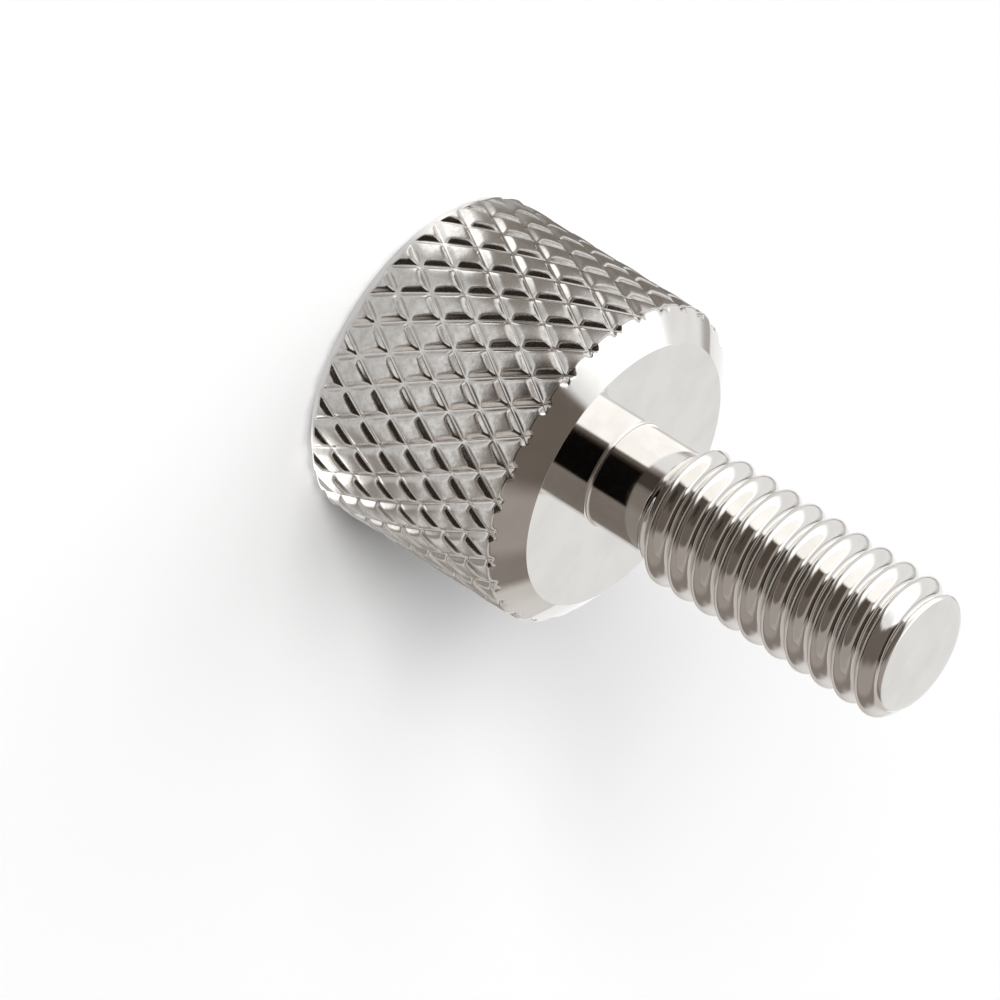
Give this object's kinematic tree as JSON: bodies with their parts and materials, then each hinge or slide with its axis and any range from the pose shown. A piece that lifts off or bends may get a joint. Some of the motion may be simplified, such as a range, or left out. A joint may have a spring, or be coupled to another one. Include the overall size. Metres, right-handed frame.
{
  "type": "thumb screw",
  "caption": "Knurled-head thumb screw with a bevelled flat seat, a plain relieved neck and a right-hand thread, turned from one bar and nickel plated.",
  "frame": {"origin": "centre of the outer end of the head, on the surface it stands on", "axes": "+Z along the screw's axis, from the head towards the tip; X and Y are equal, with the centre of a knurl diamond 1.1 degrees round from +X"},
  "size_m": [0.015, 0.015, 0.0275],
  "materials": {
    "nickel_plate": "bright nickel plate on turned steel"
  },
  "bodies": {
    "root": {"thumb_screw": "nickel_plate"}
  },
  "joints": []
}
